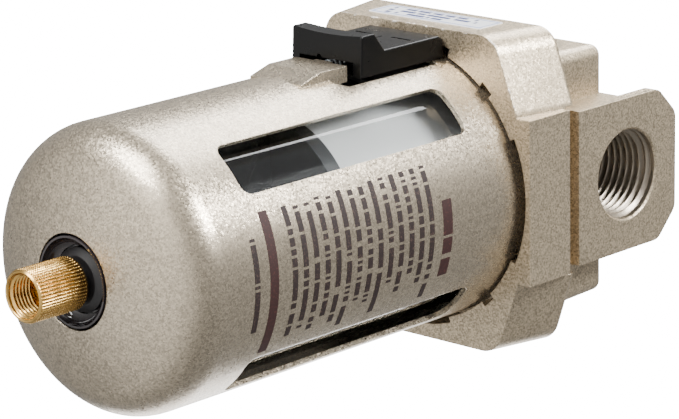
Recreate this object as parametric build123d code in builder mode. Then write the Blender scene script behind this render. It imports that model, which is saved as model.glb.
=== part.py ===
"""Modular compressed air filter: ported head, bayonet bowl guard, clear bowl, element and drain.

Frame: the origin is the centre of the inlet port's mouth, +X runs with the air flow to the outlet port,
+Z points up to the top of the head, and the front with the lock button faces -Y. Millimetres.
A "drop" is a height counted down from the ports' axis, and an "out" is counted from the bowl's axis.
"""

import os
from math import atan2, cos, degrees, hypot, radians, sin, sqrt, tan

from build123d import *

# ---- Driving sizes ---------------------------------------------------------------------------------------
guard_r = 31.8  # outside of the bowl guard
guard_wall = 1.2
shoulder_drop = 127.0  # centre of the round between the guard's wall and its crown
shoulder_r = 10.4
crown_r = 69.0
block_bottom = 35.0  # drop of the head's underside
port_bore_r = 10.48  # major radius of the half-inch pipe thread
port_depth = 17.0
port_chamfer = 0.4
port_margin = 3.2  # guard's outside to the face of each port
cut_over = 1.0  # how far a cutting shape runs past what it cuts
tiny = 0.001  # how closely an edge is matched by its size

half_span = guard_r + port_margin
port_span = 2 * half_span
axis_x = half_span

# ---- Head ------------------------------------------------------------------------------------------------
flange_margin = 7.52  # port bore to the edge of its flange
flange_half_width = port_bore_r + flange_margin
flange_top = port_bore_r + flange_margin
flange_bottom = 17.6
flange_thickness = 3.2
flange_corner = 6.5
flange_corner_round = 3.5
core_wall = 3.02
core_roof = 4.52
core_half_width = port_bore_r + core_wall  # the body between the two flanges
core_top = port_bore_r + core_roof
core_edge_round = 5.0

block_wall = 5.0
block_front = guard_r + block_wall
block_top = 18.0
block_corner = 6.0
block_shoulder_round = 1.2
block_low_side = half_span - 3.8
block_high_side = half_span - 0.6
block_low_flat = half_span - 10.4
block_high_flat = half_span - 6.4
block_side_flat = flange_half_width + 1.5
neck_half_length = half_span - 7.5
neck_half_width = block_front - 7.0
neck_top = 0.5
neck_corner = 3.0
neck_draft = 1.5  # degrees
neck_top_round = 1.5
pad_half_width = flange_half_width + 1.1
pad_top = 20.9
groove_depth = 3.6

# ---- Bayonet between the head and the guard --------------------------------------------------------------
guard_rim = block_bottom - 8.0
guard_gap = 0.6  # guard to the head's ledge
ledge_thickness = 3.8
ledge_r = guard_r + guard_gap
lug_height = 1.5
lug_r = guard_r + lug_height
lug_clearance = 0.4
lug_axial_play = 0.1
lug_length = 3.0
lug_span = 28.0  # degrees
lug_angle = 42.4  # degrees from the front or back
groove_r = lug_r + lug_clearance
button_notch_span = 40.0  # degrees
side_notch_span = 50.5
back_notch_span = 38.0
key_notch_width = 3.6

# ---- Bowl ------------------------------------------------------------------------------------------------
bowl_inset = 2.9  # guard's outside to the bowl's outside
bowl_wall = 4.4
bowl_inner_r = guard_r - bowl_inset - bowl_wall
bowl_flange_r = guard_r - 0.6
bowl_flange_thickness = 2.5
bowl_flange_top = guard_rim - bowl_flange_thickness
bowl_flange_play = 0.3  # bowl's flange to the head above it
bowl_neck_r = bowl_inner_r + 2.7
bowl_neck_clearance = 0.3
bowl_neck_height = 9.0
neck_top_drop = bowl_flange_top - bowl_neck_height
chamber_r = bowl_neck_r + bowl_neck_clearance
o_ring_section_r = 0.9
o_ring_drop = bowl_flange_top - 5.0
o_ring_bore_gap = 0.05
o_ring_floor_gap = 0.02
o_ring_side_gap = 0.15
crown_rise = sqrt((crown_r - shoulder_r) ** 2 - (guard_r - shoulder_r) ** 2)
crown_drop = shoulder_drop + crown_r - crown_rise  # the guard's lowest point
boss_r = 9.86
boss_recess = 0.65  # boss's face above the guard's lowest point
boss_height = 9.8
boss_bottom = crown_drop - boss_recess
boss_floor = boss_bottom - boss_height
boss_hole_gap = 0.54
dish_rim = 0.45
dish_step = 1.0
dish_bulge = 0.4
dish_bulge_drop = 2.4

# ---- Guard's openings ------------------------------------------------------------------------------------
window_low = shoulder_drop - 11.0
window_high = block_bottom + 11.0
window_width = 12.6
window_corner = 2.6
window_angle = 45.0  # degrees from the front or back

# ---- Air ways --------------------------------------------------------------------------------------------
chamber_roof = 1.52  # port bore to the chamber under it
chamber_ceiling = port_bore_r + chamber_roof
centre_bore_r = 9.0
centre_bore_top = 8.0
outlet_way_r = 8.0
inlet_way_r = 5.4
inlet_way_wall = 0.5
inlet_way_offset = chamber_r - inlet_way_r - inlet_way_wall

# ---- Element stack ---------------------------------------------------------------------------------------
gasket_thickness = 1.0
deflector_tube_r = centre_bore_r + 2.5
deflector_bore_r = centre_bore_r - 1.0
deflector_disc_r = bowl_inner_r - 1.1
deflector_disc_top = guard_rim - 0.4
deflector_disc_thickness = 1.8
vane_count = 12
vane_height = 7.5
vane_root = 0.4
vane_thickness = 1.3
vane_lean = 35.0  # degrees
vane_inner_r = deflector_tube_r + 2.0
vane_edge_gap = 0.4
element_length = 50.0
element_r = bowl_inner_r - 2.5
element_bore_r = element_r - 8.0
seal_thickness = 1.2
seal_width = 5.0
seal_step = 0.4
baffle_r = element_r + 0.4
baffle_edge = 3.0
baffle_rim_wall = 2.2
baffle_rim_gap = 0.2
baffle_height = 13.0
baffle_foot_r = 8.0
rib_count = 6
rib_half_thickness = 0.7
rib_root = 1.0
rib_edge_inset = 1.5
bolt_r = 2.5
bolt_clearance = 0.2
bolt_thread_gap = 0.05
bolt_thread_depth = 5.0
bolt_end_gap = 0.3
bolt_head_height = 4.0
bolt_head_across = 9.0
washer_r = 5.5
washer_thickness = 1.0

# ---- Lock button -----------------------------------------------------------------------------------------
button_half_width = 10.5
button_length = 27.5
button_travel = 6.0
button_head_gap = 0.5
button_stand = 3.7  # guard's outside to the button's flat face
button_top = block_bottom + button_head_gap
button_bottom = button_top + button_length
button_face = guard_r + button_stand
button_seat = guard_r - guard_wall - 0.2
button_under_step = 0.8
button_edge_round = 0.4
button_top_bevel = (1.6, 0.9)  # along the face, and into it
catch_height = 4.2
catch_face = button_face + catch_height
catch_ridge = 4.2
catch_slope = 3.2
catch_lip = 0.5
catch_edge_round = 0.6
catch_hollow_r = 92.0
catch_hollow_sag = 0.6
release_notch_r = 0.7
release_notch_place = -2.2
release_notch_depth = 2.0
line_depth = 0.5
cross_line_drop = button_top + 8.7
cross_line = (5.8, 0.7)
cross_line_place = 5.4
centre_line = (0.5, 8.6)
centre_line_drop = button_top + 13.3

slot_side_gap = 0.9
slot_half_width = button_half_width + slot_side_gap
slot_top = block_bottom + 4.0
slot_end_gap = 1.0
slot_bottom = button_bottom + button_travel + slot_end_gap
slot_corner = 2.2
button_slot_gap = 0.4
skirt_gap = 0.4  # guard's outside to the button's hollow over it
shelf_half_width = button_half_width - 2.8
shelf_face = guard_r + 1.4
shelf_top = button_bottom + 1.4
shelf_root = slot_bottom + 9.0
shelf_ramp = 6.0
shelf_tuck = 0.3
shelf_gap = 0.4
channel_face = shelf_face + shelf_gap
channel_top = button_bottom - button_travel
tongue_half_width = button_half_width - 4.0
tongue_inner = guard_r + 0.4
tongue_outer = guard_r + 1.6
tongue_engagement = 0.9
tongue_clearance = 0.37
button_notch_r = hypot(tongue_outer, tongue_half_width) + tongue_clearance
spring_axis_out = shelf_face - 1.2
spring_r = 1.05
spring_wire_r = 0.2
spring_turns = 10
spring_pocket_r = 1.6
spring_pocket_top = channel_top - 7.0
tab_half_width = 2.4
tab_height = 1.0
tab_inner = spring_axis_out - 1.1
clip_wall = 1.0
clip_gap = 0.3
clip_span = 50.0  # degrees
clip_low = button_bottom - 3.0
clip_high = button_top + 5.5
clip_pad_half_width = button_half_width - 1.0
clip_pad_margin = 2.2

# ---- Drain -----------------------------------------------------------------------------------------------
drain_shank_r = 4.0
drain_edge = 0.4
shank_gap = 0.05
drain_bore_r = 1.9
drain_lift = 1.5
drain_gasket_thickness = 0.7
drain_flange_r = drain_shank_r + 3.0
drain_flange_thickness = 1.6
drain_flange_edge = 0.7
drain_flange_slope = 1.6
drain_nipple_r = drain_shank_r - 0.7
drain_nipple_length = 4.6
drain_nut_across = 2 * drain_shank_r + 4.0
drain_nut_height = 3.4
drain_shank_proud = 1.6
boss_seat = boss_bottom - 3.8
boss_seat_r = drain_flange_r + 0.4
drain_shank_top = boss_floor - drain_nut_height - drain_shank_proud
drain_flange_top = boss_seat + drain_gasket_thickness
drain_flange_bottom = drain_flange_top + drain_flange_thickness
drain_nipple_bottom = drain_flange_bottom + drain_nipple_length
stem_r = 1.2
stem_head_r = drain_shank_r - 0.6
stem_head_height = 1.6
stem_head_bevel = 0.5
stem_collar = 0.6
stem_fit = 0.03
valve_seal_thickness = 0.8
seal_edge_gap = 0.2
knob_thread_r = 4.86  # major radius of the eighth-inch pipe thread
knob_thread_depth = 6.2
knob_wall = 0.98
knob_r = knob_thread_r + knob_wall
knob_length = 13.2
knob_flange_gap = 0.4  # knob to the drain's flange when the valve is fully open
knob_top = drain_flange_bottom + drain_lift + knob_flange_gap
knob_bottom = knob_top + knob_length
knob_web = 0.8
knob_chamfer = 0.4
knob_ring_r = 1.9
knob_ring_thickness = 0.6
knob_nipple_clearance = 0.06
knob_play = 0.1
knob_relief_depth = stem_collar + knob_play + 0.3  # room above the thread for the stem's collar
knob_drip_holes = 4
knob_drip_r = 0.6

# ---- Label -----------------------------------------------------------------------------------------------
label_width = 34.0
label_height = 8.6
label_corner = 0.8
label_drop = block_bottom - 8.6
label_thickness = 0.15

# ---- Planes and helpers ----------------------------------------------------------------------------------
bowl_axis = Axis((axis_x, 0, 0), (0, 0, 1))
section = Plane(origin=(axis_x, 0, 0), x_dir=(1, 0, 0), z_dir=(0, -1, 0))
side_section = Plane(origin=(axis_x, 0, 0), x_dir=(0, 1, 0), z_dir=(1, 0, 0))

def level(drop):
    """Horizontal plane on the bowl's axis, this far below the ports' axis."""
    return Plane(origin=(axis_x, 0, -drop), x_dir=(1, 0, 0), z_dir=(0, 0, 1))


def front(distance):
    """Upright plane facing the front, this far out from the bowl's axis."""
    return Plane(origin=(axis_x, -distance, 0), x_dir=(1, 0, 0), z_dir=(0, -1, 0))


def across(x):
    """Plane across the air flow, facing +X, at this place along the ports' axis."""
    return Plane(origin=(x, 0, 0), x_dir=(0, 1, 0), z_dir=(1, 0, 0))


def from_front(angle):
    """Direction about the bowl's axis, in degrees from +X, of an angle counted from the front."""
    return angle - 90


def outward(angle, distance, drop):
    """Plane facing outward at an angle about the bowl's axis, with its Y up, at a distance and a drop."""
    turn = radians(angle)
    facing = Vector(cos(turn), sin(turn), 0)
    foot = Vector(axis_x, 0, -drop) + facing * distance
    return Plane(origin=foot, x_dir=(-sin(turn), cos(turn), 0), z_dir=facing)


def alongside(angle):
    """Upright plane through the bowl's axis, with its X pointing outward at an angle and its Y up."""
    turn = radians(angle)
    return Plane(origin=(axis_x, 0, 0), x_dir=(cos(turn), sin(turn), 0), z_dir=(sin(turn), -cos(turn), 0))


def ring(outer_r, inner_r, top, bottom):
    """Plain ring on the bowl's axis between two drops."""
    with BuildPart() as body:
        with BuildSketch(level(bottom)):
            Circle(outer_r)
            Circle(inner_r, mode=Mode.SUBTRACT)
        extrude(amount=bottom - top)
    return body.part


def sector(outer_r, inner_r, top, bottom, middle, span):
    """Part of a ring, centred on an angle from the front."""
    start = from_front(middle - span / 2)
    with BuildPart() as body:
        with BuildSketch(level(bottom)):
            with BuildLine():
                CenterArc((0, 0), inner_r, start, span)
                CenterArc((0, 0), outer_r, start, span)
                for end in (start, start + span):
                    along = Vector(cos(radians(end)), sin(radians(end)))
                    Line(along * inner_r, along * outer_r)
            make_face()
        extrude(amount=bottom - top)
    return body.part


def guard_form(inset, top):
    """Solid of the guard's shape, drawn in by an inset: straight wall, shoulder round and shallow crown."""
    wall_r = guard_r - inset
    round_r = shoulder_r - inset
    dome_r = crown_r - inset
    dome_centre = crown_rise - shoulder_drop
    lean = atan2(guard_r - shoulder_r, crown_rise)
    with BuildPart() as form:
        with BuildSketch(section):
            with BuildLine():
                Line((0, -top), (wall_r, -top))
                Line((wall_r, -top), (wall_r, -shoulder_drop))
                CenterArc((wall_r - round_r, -shoulder_drop), round_r, 0, degrees(lean) - 90)
                CenterArc((0, dome_centre), dome_r, -90, degrees(lean))
                Line((0, dome_centre - dome_r), (0, -top))
            make_face()
        revolve(axis=bowl_axis)
    return form.part


def shelf_form(inset, top):
    """Solid of the pressed shelf under the lock button, drawn in by an inset."""
    inner = guard_r - 4 * guard_wall
    with BuildPart() as form:
        with BuildSketch(side_section):
            with BuildLine():
                Polyline(
                    (-inner, -(shelf_root - inset)),
                    (-(guard_r - inset - shelf_tuck), -(shelf_root - inset)),
                    (-(shelf_face - inset), -(shelf_root - shelf_ramp)),
                    (-(shelf_face - inset), -top),
                    (-inner, -top),
                    close=True,
                )
            make_face()
        extrude(amount=shelf_half_width - inset, both=True)
    return form.part


# ---- Head body -------------------------------------------------------------------------------------------
with BuildPart() as head_body:
    outlines = (
        (block_bottom, block_low_side, block_low_flat),
        (block_top, block_high_side, block_high_flat),
    )
    for drop, side, flat in outlines:
        with BuildSketch(level(drop)):
            with BuildLine():
                Polyline(
                    (-flat, -block_front),
                    (flat, -block_front),
                    (side, -block_side_flat),
                    (side, block_side_flat),
                    (flat, block_front),
                    (-flat, block_front),
                    (-side, block_side_flat),
                    (-side, -block_side_flat),
                    close=True,
                )
            make_face()
            fillet(vertices(), radius=block_corner)
    loft()
    fillet(edges().group_by(Axis.Z)[-1], radius=block_shoulder_round)
    with BuildSketch(level(block_top)):
        RectangleRounded(2 * neck_half_length, 2 * neck_half_width, neck_corner)
    extrude(amount=block_top + neck_top, taper=neck_draft)
    fillet(edges().group_by(Axis.Z)[-1], radius=neck_top_round)
    # the core between the flanges, and the lower web that carries them
    with BuildSketch(across(flange_thickness)):
        with Locations((0, (core_top - block_top) / 2)):
            Rectangle(2 * core_half_width, core_top + block_top)
        fillet(vertices().group_by(Axis.Y)[-1], radius=core_edge_round)
        with Locations((0, (neck_top - block_top) / 2)):
            Rectangle(2 * flange_half_width, neck_top + block_top)
    extrude(amount=port_span - 2 * flange_thickness)
    with BuildSketch(across(0), across(port_span - flange_thickness)):
        with Locations((0, (flange_top - flange_bottom) / 2)):
            Rectangle(2 * flange_half_width, flange_top + flange_bottom)
        chamfer(vertices().group_by(Axis.Y)[-1], length=flange_corner)
        bevel_ends = vertices().group_by(Axis.Y)[-1] + vertices().group_by(Axis.Y)[-2]
        fillet(bevel_ends, radius=flange_corner_round)
    extrude(amount=flange_thickness)
    with BuildSketch(level(block_bottom)):
        Rectangle(port_span, 2 * pad_half_width)
    extrude(amount=block_bottom - pad_top)
    # clamp grooves between the flanges and the pads
    with BuildSketch(level(pad_top)):
        for side in (-1, 1):
            with Locations((side * (half_span - groove_depth / 2), 0)):
                Rectangle(groove_depth, 2 * pad_half_width + cut_over)
    extrude(amount=pad_top - flange_bottom, mode=Mode.SUBTRACT)
    # the seat for the bowl: ledge with its lug notches, lug groove, and the bore for the O-ring
    ledge_top = block_bottom - ledge_thickness
    seats = (
        (ledge_r, block_bottom, ledge_top),
        (groove_r, ledge_top, bowl_flange_top - bowl_flange_play),
        (chamber_r, bowl_flange_top - bowl_flange_play, chamber_ceiling),
    )
    for radius, bottom, top in seats:
        with BuildSketch(level(bottom)):
            Circle(radius)
        extrude(amount=bottom - top, mode=Mode.SUBTRACT)
    notches = (
        (0, button_notch_span, button_notch_r),
        (90, side_notch_span, groove_r),
        (180, back_notch_span, groove_r),
        (270, side_notch_span, groove_r),
    )
    for middle, span, radius in notches:
        notch = sector(radius, ledge_r - cut_over, ledge_top, block_bottom, middle, span)
        add(notch, mode=Mode.SUBTRACT)
    key_span = degrees(key_notch_width / groove_r)
    for side in (-1, 1):
        for middle in (side * lug_angle, 180 - side * lug_angle):
            notch = sector(groove_r, ledge_r - cut_over, ledge_top, block_bottom, middle, key_span)
            add(notch, mode=Mode.SUBTRACT)
    # ports and air ways
    with BuildSketch(across(0)):
        Circle(port_bore_r)
    extrude(amount=port_depth, mode=Mode.SUBTRACT)
    with BuildSketch(across(port_span)):
        Circle(port_bore_r)
    extrude(amount=-port_depth, mode=Mode.SUBTRACT)
    round_edges = edges().filter_by(GeomType.CIRCLE)
    bore_edges = round_edges.filter_by(lambda edge: abs(edge.radius - port_bore_r) < tiny)
    chamfer(bore_edges.group_by(Axis.X)[0] + bore_edges.group_by(Axis.X)[-1], length=port_chamfer)
    with BuildSketch(across(axis_x)):
        Circle(outlet_way_r)
    extrude(amount=half_span - port_depth / 2, mode=Mode.SUBTRACT)
    with BuildSketch(level(chamber_ceiling)):
        Circle(centre_bore_r)
    extrude(amount=chamber_ceiling + centre_bore_top, mode=Mode.SUBTRACT)
    with BuildSketch(level(chamber_ceiling)):
        with Locations((-inlet_way_offset, 0)):
            Circle(inlet_way_r)
    extrude(amount=chamber_ceiling, mode=Mode.SUBTRACT)
    with BuildSketch(level(-centre_bore_top)):
        Circle(bolt_r + bolt_thread_gap)
    extrude(amount=bolt_thread_depth, mode=Mode.SUBTRACT)
head_body.part.label = "head_body"

with BuildPart() as head_label:
    with BuildSketch(front(block_front)):
        with Locations((0, -label_drop)):
            RectangleRounded(label_width, label_height, label_corner)
    extrude(amount=label_thickness)
head_label.part.label = "head_label"

# ---- Bowl guard ------------------------------------------------------------------------------------------
with BuildPart() as bowl_guard:
    add(guard_form(0, guard_rim))
    add(shelf_form(0, shelf_top))
    add(guard_form(guard_wall, guard_rim - cut_over), mode=Mode.SUBTRACT)
    add(shelf_form(guard_wall, shelf_top - cut_over), mode=Mode.SUBTRACT)
    with BuildSketch(level(shoulder_drop + 2 * shoulder_r)):
        Circle(boss_r + boss_hole_gap)
    extrude(amount=2 * shoulder_r, mode=Mode.SUBTRACT)
    # slot for the lock button, round the free end of the shelf
    with BuildSketch(front(guard_r / 2)):
        with Locations((0, -(slot_top + slot_bottom) / 2)):
            Rectangle(2 * slot_half_width, slot_bottom - slot_top)
        chamfer(vertices().group_by(Axis.Y)[0], length=slot_corner)
        with Locations((0, -(shelf_top + slot_bottom) / 2)):
            Rectangle(2 * shelf_half_width, slot_bottom - shelf_top, mode=Mode.SUBTRACT)
    extrude(amount=guard_r, mode=Mode.SUBTRACT)
    for middle in (-window_angle, window_angle, 180 - window_angle, 180 + window_angle):
        with BuildSketch(outward(from_front(middle), 0, 0)):
            with Locations((0, -(window_low + window_high) / 2)):
                RectangleRounded(window_width, window_low - window_high, window_corner)
        extrude(amount=guard_r + cut_over, mode=Mode.SUBTRACT)
    lug_root_r = guard_r - guard_wall / 2
    lug_bottom = ledge_top - lug_axial_play
    for side in (-1, 1):
        for middle in (side * lug_angle, 180 - side * lug_angle):
            lug = sector(lug_r, lug_root_r, lug_bottom - lug_length, lug_bottom, middle, lug_span)
            add(lug)
    # bent tab that the lock spring stands on
    with BuildSketch(level(shelf_top)):
        with Locations((0, -(shelf_face + tab_inner) / 2)):
            Rectangle(2 * tab_half_width, shelf_face - tab_inner)
    extrude(amount=tab_height)
bowl_guard.part.label = "bowl_guard"

# ---- Bowl ------------------------------------------------------------------------------------------------
groove_floor = chamber_r - o_ring_bore_gap - 2 * o_ring_section_r
with BuildPart() as bowl:
    add(guard_form(bowl_inset, bowl_flange_top))
    add(ring(bowl_flange_r, bowl_inner_r, bowl_flange_top, guard_rim))
    add(ring(bowl_neck_r, bowl_inner_r, neck_top_drop, guard_rim))
    add(guard_form(bowl_inset + bowl_wall, neck_top_drop - cut_over), mode=Mode.SUBTRACT)
    with BuildSketch(level(boss_bottom)):
        Circle(boss_r)
    extrude(amount=boss_bottom - boss_floor)
    # dished face of the boss, and the flat seat for the drain
    with BuildSketch(section):
        with BuildLine():
            Line((0, -boss_seat), (boss_seat_r, -boss_seat))
            Line((boss_seat_r, -boss_seat), (boss_seat_r, -(boss_seat + dish_step)))
            ThreePointArc(
                (boss_seat_r, -(boss_seat + dish_step)),
                (boss_r - dish_rim - dish_bulge, -(boss_seat + dish_bulge_drop)),
                (boss_r - dish_rim, -boss_bottom),
            )
            Line((boss_r - dish_rim, -boss_bottom), (0, -boss_bottom))
            Line((0, -boss_bottom), (0, -boss_seat))
        make_face()
    revolve(axis=bowl_axis, mode=Mode.SUBTRACT)
    with BuildSketch(level(boss_bottom)):
        Circle(drain_shank_r + shank_gap)
    extrude(amount=boss_bottom - boss_floor, mode=Mode.SUBTRACT)
    groove_half_width = o_ring_section_r + o_ring_side_gap
    groove_ends = (o_ring_drop - groove_half_width, o_ring_drop + groove_half_width)
    add(ring(chamber_r, groove_floor - o_ring_floor_gap, *groove_ends), mode=Mode.SUBTRACT)
bowl.part.label = "bowl"

with BuildPart() as bowl_o_ring:
    with BuildSketch(section):
        with Locations((groove_floor + o_ring_section_r, -o_ring_drop)):
            Circle(o_ring_section_r)
    revolve(axis=bowl_axis)
bowl_o_ring.part.label = "bowl_o_ring"

# ---- Element stack ---------------------------------------------------------------------------------------
gasket_bottom = chamber_ceiling + gasket_thickness
with BuildPart() as deflector_gasket:
    add(ring(deflector_tube_r, centre_bore_r, chamber_ceiling, gasket_bottom))
deflector_gasket.part.label = "deflector_gasket"

disc_bottom = deflector_disc_top + deflector_disc_thickness
with BuildPart() as swirl_deflector:
    add(ring(deflector_tube_r, deflector_bore_r, gasket_bottom, disc_bottom))
    add(ring(deflector_disc_r, deflector_bore_r, deflector_disc_top, disc_bottom))
    shift = vane_height * tan(radians(vane_lean))
    for count in range(vane_count):
        with BuildSketch(outward(360 * count / vane_count, vane_inner_r, deflector_disc_top)):
            with BuildLine():
                Polyline(
                    (-vane_thickness / 2, -vane_root),
                    (vane_thickness / 2, -vane_root),
                    (vane_thickness / 2, 0),
                    (vane_thickness / 2 + shift, vane_height),
                    (-vane_thickness / 2 + shift, vane_height),
                    (-vane_thickness / 2, 0),
                    close=True,
                )
            make_face()
        extrude(amount=deflector_disc_r - vane_inner_r - vane_edge_gap)
swirl_deflector.part.label = "swirl_deflector"

element_top = disc_bottom + seal_thickness
seal_inner_r = element_bore_r + seal_step
element_bottom = element_top + element_length
with BuildPart() as element_top_seal:
    add(ring(seal_inner_r + seal_width, seal_inner_r, disc_bottom, element_top))
element_top_seal.part.label = "element_top_seal"

with BuildPart() as filter_element:
    add(ring(element_r, element_bore_r, element_top, element_bottom))
filter_element.part.label = "filter_element"

baffle_top = element_bottom + seal_thickness
with BuildPart() as element_bottom_seal:
    add(ring(seal_inner_r + seal_width, seal_inner_r, element_bottom, baffle_top))
element_bottom_seal.part.label = "element_bottom_seal"

baffle_bottom = baffle_top + baffle_height
with BuildPart() as baffle:
    add(ring(baffle_r, bolt_r + bolt_clearance, baffle_top, baffle_top + baffle_edge))
    rim_top = element_bottom + baffle_rim_gap
    add(ring(baffle_r, baffle_r - baffle_rim_wall, rim_top, baffle_top + baffle_edge))
    add(ring(baffle_foot_r, bolt_r + bolt_clearance, baffle_top, baffle_bottom))
    for count in range(rib_count):
        with BuildSketch(alongside(360 * (count + 0.5) / rib_count)):
            with BuildLine():
                Polyline(
                    (baffle_foot_r - rib_root, -(baffle_top + rib_root)),
                    (baffle_foot_r - rib_root, -(baffle_bottom - rib_root)),
                    (baffle_foot_r, -(baffle_bottom - rib_root)),
                    (baffle_r - rib_edge_inset, -(baffle_top + baffle_edge)),
                    (baffle_r - rib_edge_inset, -(baffle_top + rib_root)),
                    close=True,
                )
            make_face()
        extrude(amount=rib_half_thickness, both=True)
baffle.part.label = "baffle"

washer_bottom = baffle_bottom + washer_thickness
with BuildPart() as bolt_washer:
    add(ring(washer_r, bolt_r + bolt_clearance, baffle_bottom, washer_bottom))
bolt_washer.part.label = "bolt_washer"

with BuildPart() as centre_bolt:
    with BuildSketch(level(washer_bottom + bolt_head_height)):
        RegularPolygon(bolt_head_across / 2, 6, major_radius=False)
    extrude(amount=bolt_head_height)
    with BuildSketch(level(washer_bottom)):
        Circle(bolt_r)
    extrude(amount=washer_bottom + centre_bore_top + bolt_thread_depth - bolt_end_gap)
centre_bolt.part.label = "centre_bolt"

# ---- Lock button -----------------------------------------------------------------------------------------
ridge_bottom = button_bottom - catch_lip
ridge_top = ridge_bottom - catch_ridge
under_top = slot_top + button_slot_gap
with BuildPart() as lock_button:
    with BuildSketch(side_section):
        with BuildLine():
            Polyline(
                (-button_seat, -button_bottom),
                (-catch_face, -ridge_bottom),
                (-catch_face, -ridge_top),
                (-button_face, -(ridge_top - catch_slope)),
                (-button_face, -(button_top + button_top_bevel[0])),
                (-(button_face - button_top_bevel[1]), -button_top),
                (-(button_seat - button_under_step), -button_top),
                (-(button_seat - button_under_step), -under_top),
                (-button_seat, -under_top),
                close=True,
            )
        make_face()
        fillet(vertices().group_by(Axis.X)[0], radius=catch_edge_round)
    extrude(amount=button_half_width, both=True)
    side_edges = faces().filter_by(Axis.X).edges()
    outer_edges = side_edges.filter_by(lambda edge: edge.center().Y < -(button_seat + button_edge_round))
    fillet(outer_edges, radius=button_edge_round)
    # hollow of the thumb catch
    with BuildSketch(level(button_bottom + cut_over)):
        with Locations((0, -(catch_face - catch_hollow_sag + catch_hollow_r))):
            Circle(catch_hollow_r)
    extrude(amount=catch_ridge + catch_slope + 2 * cut_over, mode=Mode.SUBTRACT)
    # underside: hollow over the guard's wall above the slot, and the channel that runs over the shelf
    with BuildSketch(level(under_top)):
        Circle(guard_r + skirt_gap)
    extrude(amount=slot_top, mode=Mode.SUBTRACT)
    with BuildSketch(level(button_bottom + cut_over)):
        with Locations((0, -(channel_face + button_seat - cut_over) / 2)):
            Rectangle(2 * (shelf_half_width + shelf_gap), channel_face - button_seat + cut_over)
    extrude(amount=cut_over + button_bottom - channel_top, mode=Mode.SUBTRACT)
    with BuildSketch(level(channel_top + cut_over)):
        with Locations((0, -spring_axis_out)):
            Circle(spring_pocket_r)
    extrude(amount=channel_top + cut_over - spring_pocket_top, mode=Mode.SUBTRACT)
    # release notch under the catch, and the sunk lines on the flat face
    with BuildSketch(level(button_bottom + cut_over)):
        with Locations((release_notch_place, -channel_face)):
            Circle(release_notch_r)
    extrude(amount=cut_over + release_notch_depth, mode=Mode.SUBTRACT)
    with BuildSketch(front(button_face - line_depth)):
        with Locations((-cross_line_place, -cross_line_drop), (cross_line_place, -cross_line_drop)):
            Rectangle(*cross_line)
        with Locations((0, -centre_line_drop)):
            Rectangle(*centre_line)
    extrude(amount=2 * line_depth, mode=Mode.SUBTRACT)
    # tongue that locks in the head's notch
    with BuildSketch(level(button_top + button_edge_round)):
        with Locations((0, -(tongue_inner + tongue_outer) / 2)):
            Rectangle(2 * tongue_half_width, tongue_outer - tongue_inner)
    extrude(amount=button_edge_round + button_head_gap + tongue_engagement)
lock_button.part.label = "lock_button"

clip_r = guard_r - guard_wall - clip_gap
with BuildPart() as lock_clip:
    add(sector(clip_r, clip_r - clip_wall, clip_high, clip_low, 0, clip_span))
    with BuildSketch(level(clip_low - clip_pad_margin)):
        with Locations((0, -(button_seat + clip_r - clip_wall) / 2)):
            Rectangle(2 * clip_pad_half_width, button_seat - clip_r + clip_wall)
    extrude(amount=clip_low - clip_high - 2 * clip_pad_margin)
lock_clip.part.label = "lock_clip"

spring_foot = shelf_top - tab_height
spring_length = spring_foot - spring_pocket_top - 2 * spring_wire_r
with BuildPart() as lock_spring:
    with BuildLine():
        coil = Helix(
            pitch=spring_length / spring_turns,
            height=spring_length,
            radius=spring_r,
            center=(axis_x, -spring_axis_out, -(spring_foot - spring_wire_r)),
        )
    with BuildSketch(Plane(origin=coil @ 0, z_dir=coil % 0)):
        Circle(spring_wire_r)
    sweep()
lock_spring.part.label = "lock_spring"

# ---- Drain -----------------------------------------------------------------------------------------------
with BuildPart() as drain_body:
    with BuildSketch(section):
        with BuildLine():
            Polyline(
                (drain_bore_r, -drain_shank_top),
                (drain_shank_r - drain_edge, -drain_shank_top),
                (drain_shank_r, -(drain_shank_top + drain_edge)),
                (drain_shank_r, -drain_flange_top),
                (drain_flange_r, -drain_flange_top),
                (drain_flange_r, -(drain_flange_top + drain_flange_edge)),
                (drain_flange_r - drain_flange_slope, -drain_flange_bottom),
                (drain_nipple_r, -drain_flange_bottom),
                (drain_nipple_r, -drain_nipple_bottom),
                (drain_bore_r, -drain_nipple_bottom),
                close=True,
            )
        make_face()
    revolve(axis=bowl_axis)
drain_body.part.label = "drain_body"

with BuildPart() as drain_gasket:
    add(ring(drain_flange_r - seal_edge_gap, drain_shank_r + shank_gap, boss_seat, drain_flange_top))
drain_gasket.part.label = "drain_gasket"

with BuildPart() as drain_nut:
    with BuildSketch(level(boss_floor)):
        RegularPolygon(drain_nut_across / 2, 6, major_radius=False)
        Circle(drain_shank_r + shank_gap, mode=Mode.SUBTRACT)
    extrude(amount=drain_nut_height)
drain_nut.part.label = "drain_nut"

web_bottom = knob_bottom - knob_thread_depth - knob_relief_depth
web_top = web_bottom - knob_web
ring_bottom = web_top - knob_play
ring_top = ring_bottom - knob_ring_thickness
collar_top = web_bottom + knob_play
collar_bottom = collar_top + stem_collar
seal_top = drain_shank_top - valve_seal_thickness
head_top = seal_top - stem_head_height
with BuildPart() as drain_stem:
    with BuildSketch(section):
        with BuildLine():
            Polyline(
                (0, -head_top),
                (stem_head_r - stem_head_bevel, -head_top),
                (stem_head_r, -(head_top + stem_head_bevel)),
                (stem_head_r, -seal_top),
                (stem_r, -seal_top),
                (stem_r, -collar_top),
                (knob_ring_r, -collar_top),
                (knob_ring_r, -collar_bottom),
                (0, -collar_bottom),
                close=True,
            )
        make_face()
    revolve(axis=bowl_axis)
drain_stem.part.label = "drain_stem"

with BuildPart() as valve_seal:
    add(ring(stem_head_r - seal_edge_gap, stem_r + stem_fit, seal_top, drain_shank_top))
valve_seal.part.label = "valve_seal"

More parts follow.
